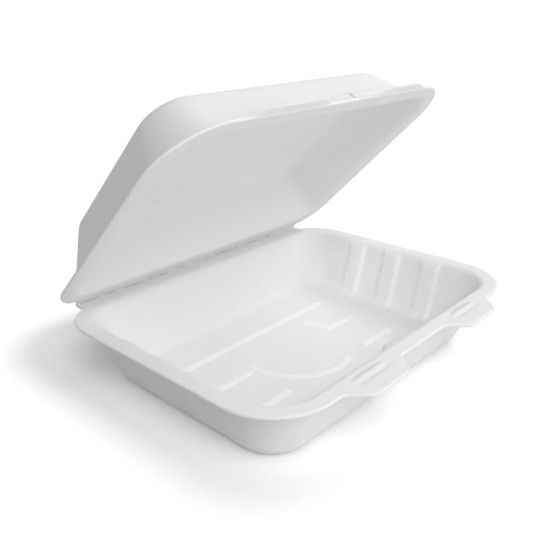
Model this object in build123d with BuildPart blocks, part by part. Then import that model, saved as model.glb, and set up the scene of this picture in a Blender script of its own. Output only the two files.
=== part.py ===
from build123d import *
from math import atan2, cos, tan
import os

# Moulded clamshell food container, modelled with its lid held part open.
# The hinge runs along the back (+Y). X is along the hinge and Z is up.
# The origin is the middle of the underside of the tray.

# Rim of the tray
rim_length = 235.0
rim_depth = 175.0
front_corner = 36.0
back_corner = 28.0
flange = 8.5
wall = 2.0
edge_round = 0.8
shoulder = 4.5
underside_round = 2.5

# Tray
tray_height = 41.0
tray_inset = 12.7
tray_front_corner = 22.0
tray_back_corner = 20.0
tray_foot_round = 11.0

# Lid, a little longer than the tray and not as deep, so that it shuts behind the tabs
lid_length = 237.0
lid_depth = 167.0
lid_rim_front_corner = 36.0
lid_rim_back_corner = 21.0
lid_height = 36.5
lid_inset = 16.8
lid_front_corner = 20.5
lid_back_corner = 15.0
lid_top_round = 12.0
panel_length = 156.0
panel_depth = 90.0
panel_corner = 14.0
panel_rise = 1.2
panel_edge = 1.0
panel_taper = 30.0
lid_opening = 44.4

# Hinge strip, folded along the middle between two thin lips
hinge_reach = 4.0
hinge_length = 186.0
hinge_thickness = 1.1
body_gap = 0.3

# Ribs in the end walls and in the middle of the front wall
rib_pitch = 30.5
rib_depth = 3.0
rib_crest = 8.0
rib_base = 14.0
rib_top_gap = 4.0
rib_ramp = 6.0
rib_edge = 1.6
groove_depth = 0.8
groove_crest = 7.0
front_rib_depth = 4.5
front_rib_crest = 8.0
front_rib_base = 17.0

# Beads on the floor of the tray, three rows and two pieces of one ring
bead_width = 4.4
bead_height = 1.3
bead_pitch = 31.0
bead_middle = 4.8
ring_radius = 36.0
short_arc = 27.0
long_arc_start = 176.0
long_arc = 114.0
long_bead = 134.0
short_bead = 27.0
corner_bead = 31.4
corner_bead_middle = 48.0

# Closing tabs, with a slit and a fold line at the root of each
tab_centre = 48.0
tab_root = 50.0
tab_tip = 29.0
tab_reach = 11.5
tab_corner = 5.0
tab_root_round = 4.0
slit_centre = 49.0
slit_length = 25.0
slit_width = 2.6
slit_inset = 4.4
fold_length = 27.0
fold_width = 2.6
fold_depth = 0.7

# Two thin lips and a turned up tongue along the front of the lid
lip_reach = 4.5
lip_thickness = 1.2
lip_corner = 2.0
lip_slant = 12.0
lip_inner_slant = 4.0
left_lip_middle = -42.0
left_lip_length = 44.0
right_lip_middle = 56.0
right_lip_length = 26.0
tongue_middle = 24.0
tongue_length = 24.0
tongue_height = 5.0
tongue_corner = 1.6

# How far an added shape runs into the shape that carries it
bite = 0.8

tray_slope = atan2(tray_inset, tray_height)
lid_slope = atan2(lid_inset, lid_height)
tray_skin = wall / cos(tray_slope)
lid_skin = wall / cos(lid_slope)
hinge_axis = Axis((0, rim_depth / 2 + hinge_reach, tray_height + body_gap / 2), (-1, 0, 0))


def moulded_outline(length, depth, inset, front, back):
    Rectangle(length - 2 * inset, depth - 2 * inset)
    fillet(vertices().group_by(Axis.Y)[0], front)
    fillet(vertices().group_by(Axis.Y)[-1], back)


def rib_profile(crest, base, depth, reach):
    spread = (base - crest) / 2 * reach / depth
    Polygon(
        (-crest / 2, 0),
        (crest / 2, 0),
        (crest / 2 + spread, reach),
        (-crest / 2 - spread, reach),
        align=None,
    )
    fillet(vertices().group_by(Axis.Y)[0], rib_edge)


def level_faces(height):
    level = faces().filter_by(Axis.Z).filter_by_position(Axis.Z, height - 0.01, height + 0.01)
    return level.sort_by(SortBy.AREA, reverse=True)


# The space inside the tray, drawn a little past the rim
with BuildPart() as tray_space:
    with BuildSketch(Plane.XY.offset(tray_height + bite)):
        mouth = flange + tray_skin - bite * tan(tray_slope)
        corner = flange + wall
        moulded_outline(rim_length, rim_depth, mouth, front_corner - corner, back_corner - corner)
    with BuildSketch(Plane.XY.offset(wall)):
        bottom = flange + tray_skin + (tray_height - wall) * tan(tray_slope)
        moulded_outline(rim_length, rim_depth, bottom, tray_front_corner - wall, tray_back_corner - wall)
    loft(ruled=True)
    fillet(faces().sort_by(Axis.Z)[0].edges(), tray_foot_round - wall)

# The outside of the tray without its flange
with BuildPart() as tray_body:
    with BuildSketch(Plane.XY.offset(tray_height)):
        moulded_outline(rim_length, rim_depth, flange, front_corner - flange, back_corner - flange)
    with BuildSketch(Plane.XY):
        moulded_outline(rim_length, rim_depth, flange + tray_inset, tray_front_corner, tray_back_corner)
    loft(ruled=True)
    fillet(faces().sort_by(Axis.Z)[0].edges(), tray_foot_round)

# One rib that follows the end wall down into the floor, centred on Y = 0
rib_top = tray_height - rib_top_gap
rib_full = rib_top - rib_ramp
end_top = rim_length / 2 - flange - tray_skin
end_lean = rib_depth / cos(tray_slope)
end_foot = end_top - (tray_height - wall) * tan(tray_slope) - end_lean
with BuildPart() as end_rib:
    with BuildLine(Plane.XZ) as rib_path:
        FilletPolyline(
            (end_top - rib_top_gap * tan(tray_slope), rib_top),
            (end_top - (rib_top_gap + rib_ramp) * tan(tray_slope) - end_lean, rib_full),
            (end_foot, wall),
            (end_foot - tray_foot_round, wall),
            radius=[rib_ramp, tray_foot_round - wall],
        )
    with BuildSketch(Plane(rib_path.line @ 0, x_dir=(0, 1, 0), z_dir=rib_path.line % 0)):
        rib_profile(rib_crest, rib_base, rib_depth, rib_depth + bite)
    sweep()

# The shallow hollow behind that rib, on the outside of the wall
groove_top = rim_length / 2 - flange - groove_depth / cos(tray_slope)
groove_foot = groove_top - tray_height * tan(tray_slope)
with BuildPart() as end_groove:
    with BuildLine(Plane.XZ) as groove_path:
        FilletPolyline(
            (groove_top - (rib_top_gap + rib_ramp) * tan(tray_slope), rib_full),
            (groove_foot, 0),
            (groove_foot - tray_foot_round, 0),
            radius=tray_foot_round,
        )
    with BuildSketch(Plane(groove_path.line @ 0, x_dir=(0, 1, 0), z_dir=groove_path.line % 0)):
        rib_profile(groove_crest, rib_base, groove_depth, groove_depth + bite)
    sweep()

# The wider rib in the middle of the front wall
front_top = flange + tray_skin - rim_depth / 2
front_lean = front_rib_depth / cos(tray_slope)
front_foot = front_top + (tray_height - wall) * tan(tray_slope) + front_lean
with BuildPart() as front_rib:
    with BuildLine(Plane.YZ) as front_path:
        FilletPolyline(
            (front_top + rib_top_gap * tan(tray_slope), rib_top),
            (front_top + (rib_top_gap + rib_ramp) * tan(tray_slope) + front_lean, rib_full),
            (front_foot, wall),
            (front_foot + tray_foot_round, wall),
            radius=[rib_ramp, tray_foot_round - wall],
        )
    with BuildSketch(Plane(front_path.line @ 0, x_dir=(1, 0, 0), z_dir=front_path.line % 0)):
        rib_profile(front_rib_crest, front_rib_base, front_rib_depth, front_rib_depth + bite)
    sweep()

with BuildPart() as wall_ribs:
    with GridLocations(0, rib_pitch, 1, 3):
        add(end_rib.part)
    mirror(about=Plane.YZ)
    add(front_rib.part)
    add(tray_body.part, mode=Mode.INTERSECT)

with BuildPart() as wall_grooves:
    with GridLocations(0, rib_pitch, 1, 3):
        add(end_groove.part)
    mirror(about=Plane.YZ)

# Beads on the floor, straight ones across the tray and two pieces of a ring
with BuildPart() as floor_beads:
    with BuildSketch(Plane((0, bead_middle, wall - bite / 2))):
        left_middle = (short_bead - long_bead) / 2
        with Locations((0, bead_pitch)):
            SlotOverall(long_bead, bead_width)
        with Locations((left_middle, 0), (left_middle, -bead_pitch)):
            SlotOverall(short_bead, bead_width)
        with Locations((ring_radius + (short_bead - bead_width) / 2, 0)):
            SlotOverall(short_bead, bead_width)
        with Locations((corner_bead_middle, -bead_pitch)):
            SlotOverall(corner_bead, bead_width)
        SlotArc(CenterArc((0, 0), ring_radius, 0, short_arc, mode=Mode.PRIVATE), bead_width)
        SlotArc(CenterArc((0, 0), ring_radius, long_arc_start, long_arc, mode=Mode.PRIVATE), bead_width)
    extrude(amount=bead_height + bite / 2)
    fillet(faces().filter_by(Axis.Z).group_by(Axis.Z)[-1].edges(), bead_height - 0.05)

# A crescent slit, straight towards the rim and arched towards the wall
with BuildSketch() as slit:
    with BuildLine():
        Line((-slit_length / 2, 0), (slit_length / 2, 0))
        ThreePointArc((slit_length / 2, 0), (0, slit_width), (-slit_length / 2, 0))
    make_face()

with BuildPart() as tray:
    add(tray_body.part)
    with BuildSketch(Plane.XY.offset(tray_height - wall)):
        moulded_outline(rim_length, rim_depth, 0, front_corner, back_corner)
        # closing tabs, run into the flange along their own slanted sides
        root = tab_root / 2 + wall * (tab_root - tab_tip) / 2 / tab_reach
        with Locations((-tab_centre, -rim_depth / 2), (tab_centre, -rim_depth / 2)):
            Polygon(
                (-tab_tip / 2, -tab_reach),
                (tab_tip / 2, -tab_reach),
                (root, wall),
                (-root, wall),
                align=None,
            )
        fillet(vertices().group_by(Axis.Y)[0], tab_corner)
        rim_ends = vertices().filter_by_position(Axis.Y, -rim_depth / 2 - 0.01, -rim_depth / 2 + 0.01)
        tab_span = tab_centre + tab_root / 2 + 1
        fillet(rim_ends.filter_by_position(Axis.X, -tab_span, tab_span), tab_root_round)
    extrude(amount=wall)
    add(tray_space.part, mode=Mode.SUBTRACT)
    fillet(level_faces(tray_height)[0].inner_wires()[0].edges(), shoulder)
    fillet(level_faces(tray_height - wall)[0].inner_wires()[0].edges(), underside_round)
    fillet(level_faces(tray_height)[0].outer_wire().edges(), edge_round)
    fillet(level_faces(tray_height - wall)[0].outer_wire().edges(), edge_round)
    add(wall_ribs.part)
    add(wall_grooves.part, mode=Mode.SUBTRACT)
    add(floor_beads.part)
    # slits in the flange
    with BuildSketch(Plane((0, slit_inset - rim_depth / 2, tray_height))):
        with Locations((-slit_centre, 0), (slit_centre, 0)):
            add(slit.sketch)
    extrude(amount=-wall, mode=Mode.SUBTRACT)
    # fold lines at the roots of the tabs
    with BuildSketch(Plane((0, -rim_depth / 2, tray_height))):
        with Locations((-tab_centre, 0), (tab_centre, 0)):
            SlotOverall(fold_length, fold_width)
    extrude(amount=-fold_depth, mode=Mode.SUBTRACT)
    # half of the hinge strip
    with BuildSketch(Plane((0, rim_depth / 2 - bite, tray_height))):
        Rectangle(hinge_length, bite + hinge_reach - body_gap / 2, align=(Align.CENTER, Align.MIN))
    extrude(amount=-hinge_thickness)
tray.part.label = "tray"

# The lid, drawn closed and then turned open about the hinge
lid_base = tray_height + body_gap
lid_top = lid_base + lid_height
lid_middle = (rim_depth - lid_depth) / 2
lid_front = rim_depth / 2 - lid_depth
with BuildPart() as lid_space:
    with BuildSketch(Plane((0, lid_middle, lid_base - bite))):
        mouth = flange + lid_skin - bite * tan(lid_slope)
        corner = flange + wall
        moulded_outline(
            lid_length, lid_depth, mouth, lid_rim_front_corner - corner, lid_rim_back_corner - corner
        )
    with BuildSketch(Plane((0, lid_middle, lid_top - wall))):
        roof = flange + lid_skin + (lid_height - wall) * tan(lid_slope)
        moulded_outline(lid_length, lid_depth, roof, lid_front_corner - wall, lid_back_corner - wall)
    loft(ruled=True)
    fillet(faces().sort_by(Axis.Z)[-1].edges(), lid_top_round - wall)
    with BuildSketch(Plane((0, lid_middle, lid_top - wall - bite / 4))):
        RectangleRounded(
            panel_length - 2 * panel_edge, panel_depth - 2 * panel_edge, panel_corner - panel_edge
        )
    extrude(amount=panel_rise + bite / 4, taper=panel_taper)

with BuildPart() as lid:
    with BuildSketch(Plane((0, lid_middle, lid_base))):
        moulded_outline(
            lid_length, lid_depth, flange, lid_rim_front_corner - flange, lid_rim_back_corner - flange
        )
    with BuildSketch(Plane((0, lid_middle, lid_top))):
        moulded_outline(lid_length, lid_depth, flange + lid_inset, lid_front_corner, lid_back_corner)
    loft(ruled=True)
    fillet(faces().sort_by(Axis.Z)[-1].edges(), lid_top_round)
    with BuildSketch(Plane((0, lid_middle, lid_base))):
        moulded_outline(lid_length, lid_depth, 0, lid_rim_front_corner, lid_rim_back_corner)
    extrude(amount=wall)
    with BuildSketch(Plane((0, lid_middle, lid_top - bite / 4))):
        RectangleRounded(panel_length, panel_depth, panel_corner)
    extrude(amount=panel_rise + bite / 4, taper=panel_taper)
    add(lid_space.part, mode=Mode.SUBTRACT)
    fillet(level_faces(lid_base)[0].inner_wires()[0].edges(), shoulder)
    fillet(level_faces(lid_base + wall)[0].inner_wires()[0].edges(), underside_round)
    fillet(level_faces(lid_base)[0].outer_wire().edges(), edge_round)
    fillet(level_faces(lid_base + wall)[0].outer_wire().edges(), edge_round)
    # two thin lips along the front of the flange
    with BuildSketch(Plane((0, lid_front, lid_base + wall))):
        left_start = left_lip_middle - left_lip_length / 2
        left_end = left_lip_middle + left_lip_length / 2
        Polygon(
            (left_start - lip_slant, 2 * bite),
            (left_start, -lip_reach),
            (left_end, -lip_reach),
            (left_end + lip_inner_slant, 2 * bite),
            align=None,
        )
        right_start = right_lip_middle - right_lip_length / 2
        right_end = right_lip_middle + right_lip_length / 2
        Polygon(
            (right_start - lip_slant, 2 * bite),
            (right_start, -lip_reach),
            (right_end, -lip_reach),
            (right_end + lip_slant, 2 * bite),
            align=None,
        )
        fillet(vertices().group_by(Axis.Y)[0], lip_corner)
    extrude(amount=-lip_thickness)
    # the tongue turned up between them
    with BuildSketch(Plane.XZ.offset(-lid_front)):
        with Locations((tongue_middle, lid_base + wall / 2)):
            Rectangle(tongue_length, tongue_height + wall / 2, align=(Align.CENTER, Align.MIN))
        fillet(vertices().group_by(Axis.Y)[-1], tongue_corner)
    extrude(amount=-lip_thickness)
    # half of the hinge strip
    with BuildSketch(Plane((0, rim_depth / 2 - bite, lid_base))):
        Rectangle(hinge_length, bite + hinge_reach - body_gap / 2, align=(Align.CENTER, Align.MIN))
    extrude(amount=hinge_thickness)

lid.part = lid.part.rotate(hinge_axis, lid_opening)
lid.part.label = "lid"

os.makedirs("parts", exist_ok=True)
export_step(tray.part, "parts/tray.step")
export_step(lid.part, "parts/lid.step")
for piece in (tray.part, lid.part):
    print(piece.label, piece.is_valid, len(piece.solids()), round(piece.volume), "mm3")
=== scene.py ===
import math

import bpy
import numpy as np
from mathutils import Matrix, Vector


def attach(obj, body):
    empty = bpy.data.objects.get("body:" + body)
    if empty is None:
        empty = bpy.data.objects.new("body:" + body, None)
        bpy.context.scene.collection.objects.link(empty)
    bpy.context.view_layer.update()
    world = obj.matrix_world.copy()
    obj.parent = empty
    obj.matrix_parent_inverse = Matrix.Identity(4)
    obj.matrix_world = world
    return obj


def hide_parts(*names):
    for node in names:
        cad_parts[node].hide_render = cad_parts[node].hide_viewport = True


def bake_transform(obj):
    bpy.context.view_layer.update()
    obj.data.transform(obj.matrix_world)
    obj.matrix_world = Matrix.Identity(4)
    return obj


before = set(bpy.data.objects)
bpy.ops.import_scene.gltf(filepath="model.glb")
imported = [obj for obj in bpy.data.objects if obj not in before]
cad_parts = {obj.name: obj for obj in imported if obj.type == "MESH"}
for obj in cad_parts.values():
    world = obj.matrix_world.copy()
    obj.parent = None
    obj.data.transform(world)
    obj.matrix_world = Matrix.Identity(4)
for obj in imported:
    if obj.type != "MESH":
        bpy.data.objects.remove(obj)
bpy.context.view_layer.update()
print("frame loaded")

# Camera at the photograph's viewing angle, looking down into the open box
cameraSet = {
    "aim": Vector((0.00105, 0.02892, 0.05231)),
    "azimuth": math.radians(222.88),
    "elevation": math.radians(21.54),
    "distance": 0.42182,
    "roll": math.radians(0.63),
    "lens": 44.16,
    "sensor": 36.0,
}


def addCamera(values):
    level = math.cos(values["elevation"])
    toCamera = Vector((
        level * math.cos(values["azimuth"]),
        level * math.sin(values["azimuth"]),
        math.sin(values["elevation"]),
    ))
    right = (-toCamera).cross(Vector((0, 0, 1))).normalized()
    up = right.cross(-toCamera)
    turned = Matrix.Rotation(-values["roll"], 3, toCamera)
    right = turned @ right
    up = turned @ up
    bpy.ops.object.camera_add()
    camera = bpy.context.object
    camera.name = "photo_camera"
    spin = Matrix((right, up, toCamera)).transposed().to_4x4()
    camera.matrix_world = Matrix.Translation(values["aim"] + values["distance"] * toCamera) @ spin
    camera.data.lens = values["lens"]
    camera.data.sensor_width = values["sensor"]
    camera.data.clip_start = 0.01
    bpy.context.scene.camera = camera
    return camera


addCamera(cameraSet)
print("camera placed")

fibreSet = {
    "colour": (0.92, 0.92, 0.92, 1.0),
    # painted highlight colour, laid on the beads and on the rib flanks that face the front
    "highlightColour": (0.98, 0.98, 0.98, 1.0),
    # painted shade colour, laid inside the cracks of the hinge fold
    "crackShadeColour": (0.22, 0.22, 0.22, 1.0),
    "mottleDepth": 0.975,
    "roughness": 0.6,
    "specular": 0.3,
    "glow": 0.3,
    "glowDepth": 0.004,
    "grainScale": 1100.0,
    "grainDetail": 3.0,
    "grainHeight": 0.00006,
    "mottleScale": 160.0,
    "mottleDetail": 4.0,
}


def addNoise(nodes, links, place, scale, detail):
    noise = nodes.new("ShaderNodeTexNoise")
    noise.inputs["Scale"].default_value = scale
    noise.inputs["Detail"].default_value = detail
    links.new(place.outputs["Object"], noise.inputs["Vector"])
    return noise.outputs["Fac"]


def makeFibre(name, values):
    material = bpy.data.materials.new(name)
    material.use_nodes = True
    nodes = material.node_tree.nodes
    links = material.node_tree.links
    shader = nodes["Principled BSDF"]
    shader.inputs["Roughness"].default_value = values["roughness"]
    shader.inputs["Specular IOR Level"].default_value = values["specular"]
    shader.inputs["Subsurface Weight"].default_value = values["glow"]
    shader.inputs["Subsurface Scale"].default_value = values["glowDepth"]
    shader.inputs["Subsurface Radius"].default_value = (1.0, 1.0, 1.0)
    place = nodes.new("ShaderNodeTexCoord")
    grain = addNoise(nodes, links, place, values["grainScale"], values["grainDetail"])
    mottle = addNoise(nodes, links, place, values["mottleScale"], values["mottleDetail"])
    bump = nodes.new("ShaderNodeBump")
    bump.inputs["Distance"].default_value = values["grainHeight"]
    links.new(grain, bump.inputs["Height"])
    links.new(bump.outputs["Normal"], shader.inputs["Normal"])
    shade = nodes.new("ShaderNodeMix")
    shade.data_type = "RGBA"
    colour = values["colour"]
    shade.inputs["A"].default_value = tuple(values["mottleDepth"] * c for c in colour[:3]) + (1.0,)
    shade.inputs["B"].default_value = colour
    links.new(mottle, shade.inputs["Factor"])
    # painted highlight makes the beads and the front-facing rib flanks whiter, painted shade makes
    # the cracks at the fold dark
    last = shade.outputs["Result"]
    for mark, tint in (("paintedHighlight", values["highlightColour"]), ("paintedCrackShade", values["crackShadeColour"])):
        where = nodes.new("ShaderNodeAttribute")
        where.attribute_name = mark
        tinted = nodes.new("ShaderNodeMix")
        tinted.data_type = "RGBA"
        tinted.inputs["B"].default_value = tint
        links.new(last, tinted.inputs["A"])
        links.new(where.outputs["Fac"], tinted.inputs["Factor"])
        last = tinted.outputs["Result"]
    links.new(last, shader.inputs["Base Color"])
    return material


fibre = makeFibre("fibre", fibreSet)
print("materials made")

# Shared shaping of the two mouldings. Sizes are in millimetres until the mesh is placed.
mm = 0.001


def softStep(low, high, value):
    t = np.clip((value - low) / (high - low), 0.0, 1.0)
    return t * t * (3.0 - 2.0 * t)


def softMin(a, b, blend):
    near = np.maximum(blend - np.abs(a - b), 0.0) / blend
    return np.minimum(a, b) - near * near * blend / 4.0


def unit(vector):
    return vector / np.linalg.norm(vector)


def roundedSection(corners):
    points = []
    last = None
    for index, corner in enumerate(corners):
        here = np.array(corner["at"], float)
        if "round" in corner:
            before = unit(np.array(corners[index - 1]["at"], float) - here)
            after = unit(np.array(corners[index + 1]["at"], float) - here)
            half = 0.5 * math.acos(float(before @ after))
            centre = here + unit(before + after) * corner["round"] / math.sin(half)
            reach = corner["round"] / math.tan(half)
            start = here + before * reach - centre
            end = here + after * reach - centre
            turn = math.pi - 2.0 * half
            arc = []
            for t in np.linspace(0.0, 1.0, corner["steps"] + 1):
                swing = math.sin((1 - t) * turn) * start + math.sin(t * turn) * end
                arc.append(centre + swing / math.sin(turn))
        else:
            arc = [here]
        if last is not None:
            cuts = np.linspace(0.0, 1.0, corner["cuts"] + 2)[1:-1]
            for t in cuts ** corner.get("crowd", 1.0):
                points.append(last + t * (arc[0] - last))
        points.extend(arc)
        last = arc[-1]
    return np.array(points)


def rimEdgeRow(line, edgeHeight):
    # the row at the rim's outermost point, half-way down its edge
    return int(np.argmin(line[:, 0] + 0.2 * np.abs(line[:, 1] - edgeHeight)))


def outlineRing(halfX, halfY, front, back, counts):
    def run(start, end, count):
        t = np.linspace(0.0, 1.0, count, endpoint=False)[:, None]
        return np.array(start) + t * (np.array(end) - np.array(start))

    def corner(x, y, radius, fromAngle, count):
        angle = np.radians(fromAngle + 90.0 * np.linspace(0.0, 1.0, count, endpoint=False))
        return np.column_stack((x + radius * np.cos(angle), y + radius * np.sin(angle)))

    frontX, backX = halfX - front, halfX - back
    frontY, backY = front - halfY, halfY - back
    return np.vstack((
        run((-frontX, -halfY), (frontX, -halfY), counts["front"]),
        corner(frontX, frontY, front, -90.0, counts["corner"]),
        run((halfX, frontY), (halfX, backY), counts["side"]),
        corner(backX, backY, back, 0.0, counts["corner"]),
        run((backX, halfY), (-backX, halfY), counts["back"]),
        corner(-backX, backY, back, 90.0, counts["corner"]),
        run((-halfX, backY), (-halfX, frontY), counts["side"]),
        corner(-frontX, frontY, front, 180.0, counts["corner"]),
    ))


def wrapGrid(name, rings, paintedHighlight=None):
    count, around = rings.shape[:2]
    bpy.ops.object.select_all(action="DESELECT")
    bpy.ops.mesh.primitive_grid_add(x_subdivisions=around, y_subdivisions=count - 1, size=1.0)
    piece = bpy.context.object
    piece.name = name
    mesh = piece.data
    flat = np.empty(len(mesh.vertices) * 3)
    mesh.vertices.foreach_get("co", flat)
    flat = flat.reshape(-1, 3)
    column = np.rint((flat[:, 0] + 0.5) * around).astype(int) % around
    row = np.rint((flat[:, 1] + 0.5) * (count - 1)).astype(int)
    mesh.vertices.foreach_set("co", (rings[row, column] * mm).ravel())
    # mask of the painted highlight, kept as a point attribute
    if paintedHighlight is not None:
        layer = mesh.attributes.new("paintedHighlight", "FLOAT", "POINT")
        layer.data.foreach_set("value", paintedHighlight[row, column])
    bpy.ops.object.mode_set(mode="EDIT")
    bpy.ops.mesh.select_all(action="SELECT")
    bpy.ops.mesh.remove_doubles(threshold=2e-6)
    bpy.ops.mesh.normals_make_consistent(inside=False)
    bpy.ops.object.mode_set(mode="OBJECT")
    bpy.ops.object.shade_smooth()
    mesh.materials.append(fibre)
    return piece


def trapezoid(x, middle, tip, root, reach, tipBlend, rootBlend):
    side = (root / 2 - np.abs(x - middle)) * reach / ((root - tip) / 2)
    capped = softMin(side, np.full_like(side, reach), tipBlend)
    return -softMin(-capped, np.zeros_like(side), rootBlend)


# The tray, one shell from the middle of its floor, over the rim and back underneath
traySet = {
    "halfX": 117.5, "halfY": 87.5, "height": 41.0, "wall": 2.0, "flange": 8.5,
    "slope": 12.7 / 41.0, "skin": 2.094, "footRound": 9.0, "outerFoot": 11.0,
    "rimFront": 36.0, "rimBack": 28.0, "footFront": 20.0, "footBack": 18.0,
    "shoulder": 4.5, "edgeRound": 0.85, "underRound": 2.5, "floorReach": 14.0,
    "counts": {"front": 140, "corner": 24, "side": 120, "back": 70},
    "floorRings": 76, "underShares": (0.9, 0.6, 0.3, 0.0),
}
ribSet = {
    "middles": (30.7, 0.3, -31.0), "crest": 11.0, "base": 16.5, "depth": 2.2,
    "backCrest": 3.6, "backBase": 8.6,
    "topStart": 40.4, "topEnd": 37.2, "floorStart": 70.0, "floorEnd": 84.0,
    "frontMiddle": -6.0, "frontCrest": 15.0, "frontBase": 36.0, "frontDepth": 4.4,
    "frontFloorStart": 42.0, "frontFloorEnd": 55.0,
    "grooveDepth": 0.15, "grooveEnd": 30.0, "grooveTop": 32.0, "grooveFull": 26.0,
    # strength and place of the painted highlight on the rib flanks that face the front
    "paintedHighlight": 0.9, "litPlace": 7.0, "litWidth": 2.6, "litFoot": 1.5,
}
beadSet = {
    "height": 1.0, "flat": 1.6, "edge": 3.2, "middle": 4.8, "pitch": 31.0,
    # the last value is the strength of the painted highlight on the beads
    "ringRadius": 36.0, "floorBand": 0.6, "paintedHighlight": 1.0,
    "runs": (
        (-64.8, 35.8, 64.8, 35.8),
        (-64.8, 4.8, -42.0, 4.8),
        (-64.8, -26.2, -42.0, -26.2),
        (36.0, 4.8, 60.8, 4.8),
        (34.5, -26.2, 61.5, -26.2),
    ),
    "arcs": ((0.0, 27.0), (176.0, 290.0)),
}
tabSet = {
    "middles": (-48.0, 48.0), "tip": 29.0, "root": 50.0, "reach": 11.5,
    "tipBlend": 2.2, "rootBlend": 1.8, "rootInset": 7.0,
    "edgeKeep": 1.0, "foldLength": 27.0, "foldFadeOut": 1.0, "foldFadeIn": 1.5,
    "foldWidth": 1.7, "foldDepth": 0.75,
}


def toSegment(x, y, run):
    x1, y1, x2, y2 = run
    dx, dy = x2 - x1, y2 - y1
    t = np.clip(((x - x1) * dx + (y - y1) * dy) / (dx * dx + dy * dy), 0.0, 1.0)
    return np.hypot(x - x1 - t * dx, y - y1 - t * dy)


def toArc(x, y, radius, start, end):
    angle = np.degrees(np.arctan2(y, x)) % 360.0
    inside = (angle >= start) & (angle <= end)
    ends = np.full_like(x, 1e9)
    for edge in (start, end):
        ex = radius * math.cos(math.radians(edge))
        ey = radius * math.sin(math.radians(edge))
        ends = np.minimum(ends, np.hypot(x - ex, y - ey))
    return np.where(inside, np.abs(np.hypot(x, y) - radius), ends)


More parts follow.
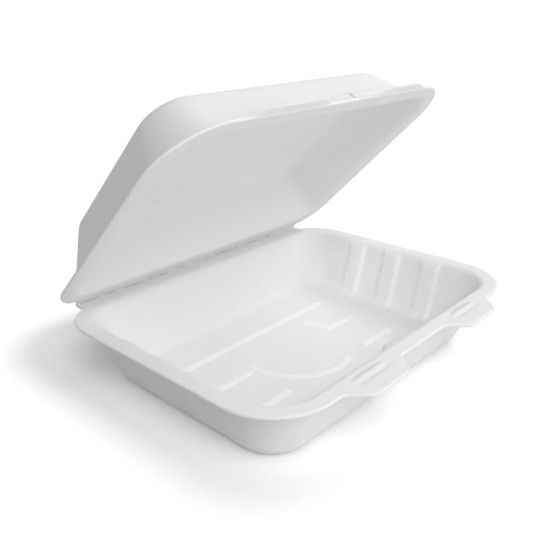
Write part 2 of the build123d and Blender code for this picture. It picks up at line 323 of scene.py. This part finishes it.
def trayRings(values, ribs, beads, tabs):
    height, wall, slope = values["height"], values["wall"], values["slope"]
    mouth = values["flange"] + values["skin"]
    foot = values["flange"] + height * slope
    corners = [
        {"at": (mouth + (height - wall) * slope + values["floorReach"], wall)},
        {"at": (mouth + (height - wall) * slope, wall), "round": values["footRound"],
         "steps": 8, "cuts": 4},
        {"at": (mouth, height), "round": values["shoulder"],
         "steps": 7, "cuts": 18, "crowd": 0.7},
        {"at": (0.0, height), "round": values["edgeRound"], "steps": 4, "cuts": 16},
        {"at": (0.0, height - wall), "round": values["edgeRound"], "steps": 4, "cuts": 1},
        {"at": (values["flange"] + wall * slope, height - wall), "round": values["underRound"],
         "steps": 5, "cuts": 3},
        {"at": (foot, 0.0), "round": values["outerFoot"], "steps": 8, "cuts": 8},
        {"at": (foot + values["floorReach"], 0.0), "cuts": 0},
    ]
    line = roundedSection(corners)
    edgeRow = rimEdgeRow(line, height - wall / 2)
    rings = []
    for row, (inset, z) in enumerate(line):
        inner = row <= edgeRow
        drop = (height - z) / (height - wall if inner else height)
        start = mouth if inner else values["flange"]
        wallInset = start + (height - z) * slope
        grow = 0.0 if inner else wall
        front = (values["rimFront"] - start) * (1 - drop) + (values["footFront"] + grow) * drop
        back = (values["rimBack"] - start) * (1 - drop) + (values["footBack"] + grow) * drop
        front += wallInset - inset
        back += wallInset - inset
        flat = outlineRing(
            values["halfX"] - inset, values["halfY"] - inset, front, back, values["counts"]
        )
        rings.append(np.column_stack((flat, np.full(len(flat), z))))
    floorShares = np.linspace(0.0, 1.0, values["floorRings"])[:-1]
    inside = [rings[0] * (share, share, 1.0) for share in floorShares]
    outside = [rings[-1] * (share, share, 1.0) for share in values["underShares"]]
    total = np.array(inside + rings + outside)
    innerRows = np.zeros(len(total), bool)
    innerRows[: len(inside) + edgeRow + 1] = True
    x, y, z = (total[:, :, k].copy() for k in range(3))
    inner = innerRows[:, None]
    onFlange = z > height - wall - 0.01
    # ribs in the end walls and the front wall
    top = softStep(ribs["topStart"], ribs["topEnd"], z)
    endShift = np.zeros_like(x)
    for middle in ribs["middles"]:
        front = softStep(ribs["base"] / 2, ribs["crest"] / 2, middle - y)
        back = softStep(ribs["backBase"], ribs["backCrest"], y - middle)
        endShift = np.maximum(endShift, np.minimum(front, back))
    endWeight = softStep(ribs["floorStart"], ribs["floorEnd"], np.abs(x))
    hollow = (z < ribs["grooveEnd"]) * softStep(ribs["grooveTop"], ribs["grooveFull"], z)
    depth = np.where(inner, ribs["depth"], ribs["grooveDepth"] * hollow)
    x = x - np.sign(x) * endShift * top * endWeight * depth
    fromFront = np.abs(x - ribs["frontMiddle"])
    frontShift = softStep(ribs["frontBase"] / 2, ribs["frontCrest"] / 2, fromFront)
    frontWeight = softStep(-ribs["frontFloorStart"], -ribs["frontFloorEnd"], y)
    y = y + frontShift * top * frontWeight * np.where(inner, ribs["frontDepth"], 0.0)
    # beads on the floor
    distance = np.full_like(x, 1e9)
    for run in beads["runs"]:
        distance = np.minimum(distance, toSegment(x, y, run))
    for start, end in beads["arcs"]:
        arc = toArc(x, y - beads["middle"], beads["ringRadius"], start, end)
        distance = np.minimum(distance, arc)
    onFloor = inner & (z < wall + beads["floorBand"])
    raised = np.where(onFloor, softStep(beads["edge"], beads["flat"], distance), 0.0)
    z = z + beads["height"] * raised
    # painted highlight: the rib flanks that face the front, and the beads, are tinted whiter as if
    # lit
    lit = np.zeros_like(x)
    for middle in ribs["middles"]:
        fromFlank = np.abs(middle - ribs["litPlace"] - y)
        lit = np.maximum(lit, softStep(ribs["litWidth"], 0.0, fromFlank))
    flank = np.where(inner & (z > wall + ribs["litFoot"]), lit * top * endWeight, 0.0)
    paintedHighlight = np.maximum(raised * beads["paintedHighlight"], flank * ribs["paintedHighlight"])
    # closing tabs, stretched out of the front of the flange
    reach = np.zeros_like(x)
    for middle in tabs["middles"]:
        reach = reach + trapezoid(
            x, middle, tabs["tip"], tabs["root"], tabs["reach"],
            tabs["tipBlend"], tabs["rootBlend"],
        )
    fromEdge = y + values["halfY"]
    run = tabs["rootInset"] - tabs["edgeKeep"]
    share = np.clip((tabs["rootInset"] - fromEdge) / run, 0.0, 1.0)
    y = y - np.where(onFlange, np.maximum(reach, 0.0) * share, 0.0)
    for middle in tabs["middles"]:
        half = tabs["foldLength"] / 2
        along = softStep(half + tabs["foldFadeOut"], half - tabs["foldFadeIn"], np.abs(x - middle))
        across = softStep(tabs["foldWidth"], 0.0, np.abs(y + values["halfY"]))
        z = z - np.where(inner & onFlange, tabs["foldDepth"] * along * across, 0.0)
    return np.stack((x, y, z), axis=2), paintedHighlight


tray = wrapGrid("moulded_tray", *trayRings(traySet, ribSet, beadSet, tabSet))
print("tray shell", len(tray.data.polygons))

# Crescent slits through the flange, at the roots of the tabs
slitSet = {
    "middles": (-49.0, 49.0), "length": 25.0, "width": 2.8, "front": -83.2,
    "steps": 24, "deep": 6.0,
}


def cutSlits(piece, values):
    for middle in values["middles"]:
        bpy.ops.object.select_all(action="DESELECT")
        bpy.ops.mesh.primitive_grid_add(x_subdivisions=values["steps"], y_subdivisions=1, size=1.0)
        cutter = bpy.context.object
        for vertex in cutter.data.vertices:
            along = vertex.co.x * 2.0
            back = values["width"] * (1.0 - along * along) if vertex.co.y > 0 else 0.0
            vertex.co = (
                (middle + along * values["length"] / 2) * mm,
                (values["front"] + back) * mm,
                (traySet["height"] + values["deep"] / 2) * mm,
            )
        bpy.ops.object.mode_set(mode="EDIT")
        bpy.ops.mesh.select_all(action="SELECT")
        bpy.ops.mesh.remove_doubles(threshold=1e-6)
        down = {"value": (0, 0, -values["deep"] * mm)}
        bpy.ops.mesh.extrude_region_move(TRANSFORM_OT_translate=down)
        bpy.ops.mesh.select_all(action="SELECT")
        bpy.ops.mesh.normals_make_consistent(inside=False)
        bpy.ops.object.mode_set(mode="OBJECT")
        cut = piece.modifiers.new("slit", "BOOLEAN")
        cut.operation = "DIFFERENCE"
        cut.solver = "EXACT"
        cut.object = cutter
        bpy.context.view_layer.objects.active = piece
        bpy.ops.object.modifier_apply(modifier=cut.name)
        bpy.data.objects.remove(cutter)


cutSlits(tray, slitSet)
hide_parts("tray")
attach(tray, "tray")
print("tray slits", len(tray.data.polygons))

# The lid, shaped closed and then turned open about the hinge
lidSet = {
    "halfX": 118.5, "halfY": 83.5, "middleY": 4.0, "base": 41.3, "height": 36.5, "wall": 2.0,
    "flange": 8.5, "slope": 16.8 / 36.5, "skin": 2.2015, "roofRound": 9.0, "outerRoof": 8.0,
    "rimFront": 36.0, "rimBack": 21.0, "roofFront": 18.5, "roofBack": 9.0, "roofReach": 7.0,
    "shoulder": 4.5, "edgeRound": 0.8, "underRound": 2.5,
    "counts": {"front": 150, "corner": 24, "side": 50, "back": 60},
    "plainShares": (0.0, 0.84, 8), "panelShares": (0.855, 0.965, 14),
    "panelX": 77.4, "panelY": 44.4, "panelRound": 13.5, "panelRise": 1.2, "panelEdge": 1.3,
    "pivotY": 91.5, "pivotZ": 41.15, "opening": 44.4,
}
lipSet = {
    "runs": ((-42.0, 44.0, 60.0), (56.0, 26.0, 50.0)),
    "reach": 4.5, "tipBlend": 1.2, "rootBlend": 1.0,
    "rootInset": 5.0, "edgeKeep": 0.9, "stepLow": 0.75, "stepHigh": 0.95,
}
tongueSet = {
    "middle": 24.0, "length": 24.0, "low": 1.0, "high": 7.5, "thick": 1.1, "lean": 0.42,
    "round": 1.6, "roundSteps": 6, "bevel": 0.3, "bevelSteps": 2, "smoothAngle": 50.0,
}


def roundedBoxDistance(x, y, halfX, halfY, radius):
    dx = np.abs(x) - halfX + radius
    dy = np.abs(y) - halfY + radius
    outside = np.hypot(np.maximum(dx, 0.0), np.maximum(dy, 0.0))
    return outside + np.minimum(np.maximum(dx, dy), 0.0) - radius


def lidRings(values, lips):
    height, wall, slope = values["height"], values["wall"], values["slope"]
    mouth = values["flange"] + values["skin"]
    roof = values["flange"] + height * slope
    corners = [
        {"at": (mouth + (height - wall) * slope + values["roofReach"], height - wall)},
        {"at": (mouth + (height - wall) * slope, height - wall), "round": values["roofRound"],
         "steps": 9, "cuts": 1},
        {"at": (mouth, 0.0), "round": values["shoulder"], "steps": 7, "cuts": 7},
        {"at": (0.0, 0.0), "round": values["edgeRound"], "steps": 4, "cuts": 7},
        {"at": (0.0, wall), "round": values["edgeRound"], "steps": 4, "cuts": 2},
        {"at": (values["flange"] + wall * slope, wall), "round": values["underRound"],
         "steps": 5, "cuts": 6},
        {"at": (roof, height), "round": values["outerRoof"], "steps": 10, "cuts": 6},
        {"at": (roof + values["roofReach"], height), "cuts": 1},
    ]
    line = roundedSection(corners)
    edgeRow = rimEdgeRow(line, wall / 2)
    rings = []
    for row, (inset, z) in enumerate(line):
        inner = row <= edgeRow
        rise = z / (height - wall if inner else height)
        start = mouth if inner else values["flange"]
        grow = 0.0 if inner else wall
        front = (values["rimFront"] - start) * (1 - rise) + (values["roofFront"] + grow) * rise
        back = (values["rimBack"] - start) * (1 - rise) + (values["roofBack"] + grow) * rise
        front += start + z * slope - inset
        back += start + z * slope - inset
        flat = outlineRing(
            values["halfX"] - inset, values["halfY"] - inset, front, back, values["counts"]
        )
        rings.append(np.column_stack((flat, np.full(len(flat), z))))
    shares = np.concatenate(
        (np.linspace(*values["plainShares"]), np.linspace(*values["panelShares"]))
    )
    inside = [rings[0] * (share, share, 1.0) for share in shares]
    outside = [rings[-1] * (share, share, 1.0) for share in shares[::-1]]
    total = np.array(inside + rings + outside)
    x, y, z = (total[:, :, k].copy() for k in range(3))
    # raised panel of the roof
    edge = roundedBoxDistance(x, y, values["panelX"], values["panelY"], values["panelRound"])
    panel = values["panelRise"] * softStep(values["panelEdge"], -values["panelEdge"], edge)
    z = z + np.where(z > height / 2, panel, 0.0)
    # two thin lips along the front of the flange
    reach = np.zeros_like(x)
    for middle, tip, root in lips["runs"]:
        reach = reach + trapezoid(
            x, middle, tip, root, lips["reach"], lips["tipBlend"], lips["rootBlend"]
        )
    fromEdge = y + values["halfY"]
    run = lips["rootInset"] - lips["edgeKeep"]
    share = np.clip((lips["rootInset"] - fromEdge) / run, 0.0, 1.0)
    upper = (z < wall + 0.01) * softStep(lips["stepLow"], lips["stepHigh"], z)
    y = y - np.maximum(reach, 0.0) * share * upper
    return np.stack((x, y + values["middleY"], z + values["base"]), axis=2)


def turnOpen(points, values):
    angle = math.radians(values["opening"])
    dy = points[..., 1] - values["pivotY"]
    dz = points[..., 2] - values["pivotZ"]
    turned = points.copy()
    turned[..., 1] = values["pivotY"] + dy * math.cos(angle) + dz * math.sin(angle)
    turned[..., 2] = values["pivotZ"] - dy * math.sin(angle) + dz * math.cos(angle)
    return turned


def addTongue(values, lidValues):
    bpy.ops.object.select_all(action="DESELECT")
    bpy.ops.mesh.primitive_cube_add(size=1.0)
    tongue = bpy.context.object
    tongue.name = "tongue"
    front = lidValues["middleY"] - lidValues["halfY"]
    low = lidValues["base"] + values["low"]
    high = lidValues["base"] + values["high"]
    for vertex in tongue.data.vertices:
        vertex.co = (
            (values["middle"] + vertex.co.x * values["length"]) * mm,
            (front + (vertex.co.y + 0.5) * values["thick"]) * mm,
            (low + (vertex.co.z + 0.5) * (high - low)) * mm,
        )
    bpy.ops.object.mode_set(mode="EDIT")
    bpy.ops.mesh.select_all(action="DESELECT")
    bpy.ops.mesh.select_mode(type="EDGE")
    bpy.ops.object.mode_set(mode="OBJECT")
    for edge in tongue.data.edges:
        ends = [tongue.data.vertices[k].co for k in edge.vertices]
        atTop = all(end.z > (high - 0.01) * mm for end in ends)
        edge.select = atTop and abs(ends[0].y - ends[1].y) > 0.5 * mm
    bpy.ops.object.mode_set(mode="EDIT")
    bpy.ops.mesh.bevel(offset=values["round"] * mm, segments=values["roundSteps"])
    bpy.ops.mesh.select_all(action="SELECT")
    bpy.ops.mesh.bevel(offset=values["bevel"] * mm, segments=values["bevelSteps"])
    bpy.ops.object.mode_set(mode="OBJECT")
    bpy.ops.object.shade_smooth_by_angle(angle=math.radians(values["smoothAngle"]))
    for vertex in tongue.data.vertices:
        vertex.co.y += (vertex.co.z - low * mm) * values["lean"]
    tongue.data.materials.append(fibre)
    return tongue


lid = wrapGrid("moulded_lid", turnOpen(lidRings(lidSet, lipSet), lidSet))
tongue = addTongue(tongueSet, lidSet)
for vertex in tongue.data.vertices:
    place = turnOpen(np.array(vertex.co) / mm, lidSet)
    vertex.co = place * mm
bpy.ops.object.select_all(action="DESELECT")
tongue.select_set(True)
lid.select_set(True)
bpy.context.view_layer.objects.active = lid
bpy.ops.object.join()
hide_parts("lid")
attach(lid, "lid")
print("lid shell", len(lid.data.polygons))

# The hinge strip, one folded web between the two rims, with cracked fibre inside its fold whose
# cracks get painted shade
webSet = {
    "halfX": 101.0, "cuts": 404, "rimY": 84.4, "armZ": 0.7, "armSteps": 6, "armEnd": 0.5,
    "thick": 1.0, "foldSteps": 8, "foldBack": 0.35, "smoothAngle": 60.0, "blendReach": 0.6,
    "crackBack": 0.35, "crackFade": 0.8, "crackEven": 0.7, "crackWaves": (5.3, 1.9),
    "cracks": ((-99.0, -84.0), (-80.0, -72.0), (-66.0, -50.0), (-47.5, -43.0), (-38.0, -31.0),
               (-22.0, -15.5), (4.0, 9.0), (13.0, 30.0), (33.0, 37.0), (44.0, 58.0), (66.0, 73.0)),
}


def makeWeb(values, lidValues):
    pivotY, pivotZ = lidValues["pivotY"], lidValues["pivotZ"]
    bend = 180.0 - lidValues["opening"]
    arm = values["armZ"]
    foldY = pivotY - values["foldBack"]
    path = []
    for y in np.linspace(values["rimY"], pivotY - values["armEnd"], values["armSteps"]):
        path.append((y, pivotZ - arm))
    opening = math.radians(lidValues["opening"])
    for step in range(values["foldSteps"] + 1):
        angle = math.radians(-90.0 + bend * step / values["foldSteps"])
        path.append((foldY + arm * math.cos(angle), pivotZ + arm * math.sin(angle)))
    for distance in np.linspace(values["armEnd"], pivotY - values["rimY"], values["armSteps"]):
        path.append((
            pivotY - distance * math.cos(opening) + arm * math.sin(opening),
            pivotZ + distance * math.sin(opening) + arm * math.cos(opening),
        ))
    path = np.array(path)
    columns = values["cuts"]
    bpy.ops.object.select_all(action="DESELECT")
    bpy.ops.mesh.primitive_grid_add(x_subdivisions=columns, y_subdivisions=len(path) - 1, size=1.0)
    web = bpy.context.object
    web.name = "hinge_web"
    mesh = web.data
    for vertex in mesh.vertices:
        row = round((vertex.co.y + 0.5) * (len(path) - 1))
        along = vertex.co.x * 2.0 * values["halfX"]
        vertex.co = (along * mm, path[row][0] * mm, path[row][1] * mm)
    # cracked fibre along the fold, pressed back a little, with painted shade inside the cracks
    backY, backZ = path[values["armSteps"] + values["foldSteps"] // 2]
    # mask of the painted shade in the cracks, kept as a point attribute
    layer = mesh.attributes.new("paintedCrackShade", "FLOAT", "POINT")
    for index, vertex in enumerate(mesh.vertices):
        away = abs(round((vertex.co.y - backY * mm) / mm, 3)) + abs(vertex.co.z / mm - backZ)
        if away > arm:
            continue
        along = vertex.co.x / mm
        inside = max(min(along - start, end - along) for start, end in values["cracks"])
        torn = min(max(inside / values["crackFade"], 0.0), 1.0)
        even = values["crackEven"]
        torn *= even + (1.0 - even) * math.prod(math.sin(along * w) for w in values["crackWaves"])
        layer.data[index].value = torn
        vertex.co.y += values["crackBack"] * torn * mm
    bpy.ops.object.mode_set(mode="EDIT")
    bpy.ops.mesh.select_all(action="SELECT")
    bpy.ops.mesh.normals_make_consistent(inside=False)
    bpy.ops.object.mode_set(mode="OBJECT")
    thicken = web.modifiers.new("thickness", "SOLIDIFY")
    thicken.thickness = values["thick"] * mm
    thicken.offset = 0.0
    bpy.ops.object.modifier_apply(modifier=thicken.name)
    mesh = web.data
    # the painted shade of the cracks shows only inside the fold
    marks = mesh.attributes["paintedCrackShade"].data
    for index, vertex in enumerate(mesh.vertices):
        away = math.hypot(vertex.co.y / mm - foldY, vertex.co.z / mm - pivotZ)
        if away > arm + values["crackBack"]:
            marks[index].value = 0.0
    bpy.ops.object.shade_smooth_by_angle(angle=math.radians(values["smoothAngle"]))
    mesh.materials.append(fibre)
    return web


web = makeWeb(webSet, lidSet)
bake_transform(web)
print("hinge web", len(web.data.polygons))

# White floor that keeps the shadow around the foot, in metres
floorSet = {
    "size": 8.0,
    "white": (1.0, 1.0, 1.0, 1.0),
    "bounce": (0.8, 0.8, 0.8, 1.0),
    "lift": 0.14,
    "shadowMiddle": (-0.015, 0.034, 0.0),
    "shadowHalf": (0.067, 0.076, 0.0),
    "fadeStart": 0.034,
    "fadeEnd": 0.062,
}


def directRays(nodes, links):
    path = nodes.new("ShaderNodeLightPath")
    last = path.outputs["Is Camera Ray"]
    for ray in ("Is Glossy Ray", "Is Transmission Ray"):
        either = nodes.new("ShaderNodeMath")
        either.operation = "MAXIMUM"
        links.new(last, either.inputs[0])
        links.new(path.outputs[ray], either.inputs[1])
        last = either.outputs["Value"]
    return last


def addFloor(values):
    bpy.ops.object.select_all(action="DESELECT")
    bpy.ops.mesh.primitive_plane_add(size=values["size"], location=(0, 0, 0))
    floor = bpy.context.object
    floor.name = "studio_floor"
    material = bpy.data.materials.new("studio_floor")
    material.use_nodes = True
    nodes = material.node_tree.nodes
    links = material.node_tree.links
    nodes.clear()
    output = nodes.new("ShaderNodeOutputMaterial")
    seen = directRays(nodes, links)
    bounce = nodes.new("ShaderNodeBsdfDiffuse")
    bounce.inputs["Color"].default_value = values["bounce"]
    shadowed = nodes.new("ShaderNodeBsdfDiffuse")
    shadowed.inputs["Color"].default_value = values["white"]
    lift = nodes.new("ShaderNodeEmission")
    lift.inputs["Strength"].default_value = values["lift"]
    lifted = nodes.new("ShaderNodeAddShader")
    links.new(shadowed.outputs["BSDF"], lifted.inputs[0])
    links.new(lift.outputs["Emission"], lifted.inputs[1])
    plain = nodes.new("ShaderNodeEmission")
    plain.inputs["Strength"].default_value = 1.0  # 1 is plain white
    place = nodes.new("ShaderNodeTexCoord")
    last = place.outputs["Object"]
    steps = (
        ("SUBTRACT", values["shadowMiddle"]),
        ("ABSOLUTE", None),
        ("SUBTRACT", values["shadowHalf"]),
        ("MAXIMUM", (0.0, 0.0, 0.0)),
        ("LENGTH", None),
    )
    for operation, amount in steps:
        reach = nodes.new("ShaderNodeVectorMath")
        reach.operation = operation
        links.new(last, reach.inputs[0])
        if amount is not None:
            reach.inputs[1].default_value = amount
        last = reach.outputs["Value" if operation == "LENGTH" else "Vector"]
    fade = nodes.new("ShaderNodeMapRange")
    fade.interpolation_type = "SMOOTHSTEP"
    fade.inputs["From Min"].default_value = values["fadeStart"]
    fade.inputs["From Max"].default_value = values["fadeEnd"]
    links.new(last, fade.inputs["Value"])
    near = nodes.new("ShaderNodeMixShader")
    links.new(fade.outputs["Result"], near.inputs["Fac"])
    links.new(lifted.outputs["Shader"], near.inputs[1])
    links.new(plain.outputs["Emission"], near.inputs[2])
    pick = nodes.new("ShaderNodeMixShader")
    links.new(seen, pick.inputs["Fac"])
    links.new(bounce.outputs["BSDF"], pick.inputs[1])
    links.new(near.outputs["Shader"], pick.inputs[2])
    links.new(pick.outputs["Shader"], output.inputs["Surface"])
    floor.data.materials.append(material)


addFloor(floorSet)

# Soft studio lamps, aimed at the tray
lampSet = [
    {"name": "right", "place": (1.2, -0.1, 1.0), "size": 0.9, "power": 7.6},
    {"name": "front", "place": (0.3, -1.45, 0.8), "size": 1.3, "power": 4.9},
    {"name": "low_front", "place": (0.0, -1.5, 0.25), "size": 0.6, "power": 2.7},
    {"name": "front_left", "place": (-0.72, -0.95, 1.3), "size": 1.0, "power": 12.6},
]
worldSet = {"strength": 0.17}


def addLamps(lamps, world):
    for values in lamps:
        bpy.ops.object.light_add(type="AREA", location=values["place"])
        lamp = bpy.context.object
        lamp.name = values["name"]
        lamp.data.shape = "DISK"
        lamp.data.size = values["size"]
        lamp.data.energy = values["power"]
        aim = Vector((0, 0, 0.05)) - Vector(values["place"])
        lamp.rotation_euler = aim.to_track_quat("-Z", "Y").to_euler()
    scene = bpy.context.scene
    scene.world = bpy.data.worlds.new("studio")
    scene.world.use_nodes = True
    nodes = scene.world.node_tree.nodes
    links = scene.world.node_tree.links
    light = nodes["Background"]
    light.inputs["Color"].default_value = (1, 1, 1, 1)
    light.inputs["Strength"].default_value = world["strength"]
    white = nodes.new("ShaderNodeBackground")
    white.inputs["Color"].default_value = (1, 1, 1, 1)
    white.inputs["Strength"].default_value = 1.0
    pick = nodes.new("ShaderNodeMixShader")
    links.new(directRays(nodes, links), pick.inputs["Fac"])
    links.new(light.outputs["Background"], pick.inputs[1])
    links.new(white.outputs["Background"], pick.inputs[2])
    links.new(pick.outputs["Shader"], nodes["World Output"].inputs["Surface"])
    scene.view_settings.view_transform = "Standard"


addLamps(lampSet, worldSet)
print("studio lit")
